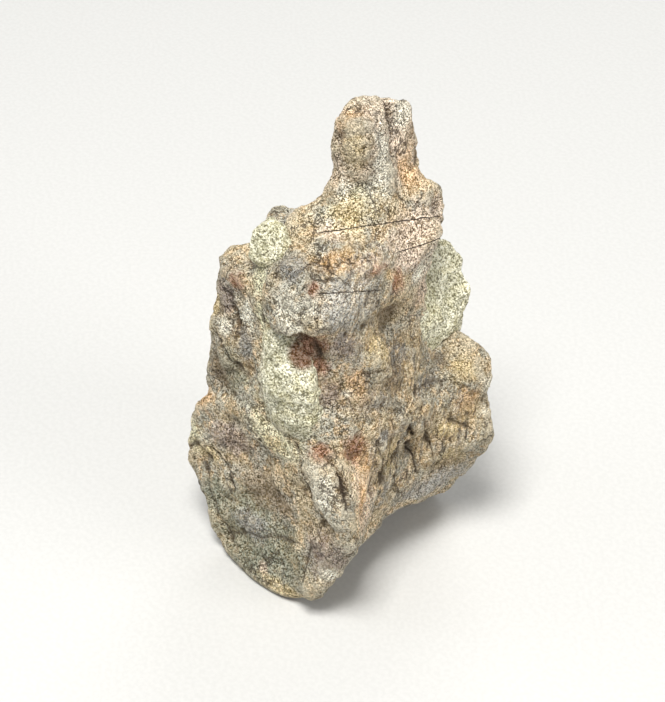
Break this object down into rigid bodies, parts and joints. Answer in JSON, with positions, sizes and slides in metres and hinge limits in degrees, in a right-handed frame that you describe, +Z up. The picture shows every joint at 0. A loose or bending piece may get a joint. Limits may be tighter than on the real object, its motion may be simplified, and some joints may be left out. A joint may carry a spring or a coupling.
{
  "type": "fossil phytosaur vertebra",
  "caption": "Fossil trunk vertebra of a phytosaur with a spool-shaped centrum, broken neural arch and spine, and pale sandstone still clinging to it.",
  "frame": {"origin": "middle of the footprint box, on the surface that the vertebra stands on", "axes": "+Z up along the neural spine, -Y towards the front of the animal, +X towards its left side"},
  "size_m": [0.0562, 0.0604, 0.1175],
  "materials": {
    "fossil_bone": "rough granular stone-hard bone, tan and grey with rust and ochre stains",
    "sandstone": "rough pale yellow-green sandstone"
  },
  "bodies": {
    "root": {"centrum": "fossil_bone", "neural_arch": "fossil_bone", "neural_spine": "fossil_bone", "transverse_process_right": "fossil_bone", "prezygapophysis_left": "fossil_bone", "rock_in_canal": "sandstone", "rock_behind_arch": "sandstone", "rock_on_front": "sandstone"}
  },
  "joints": []
}
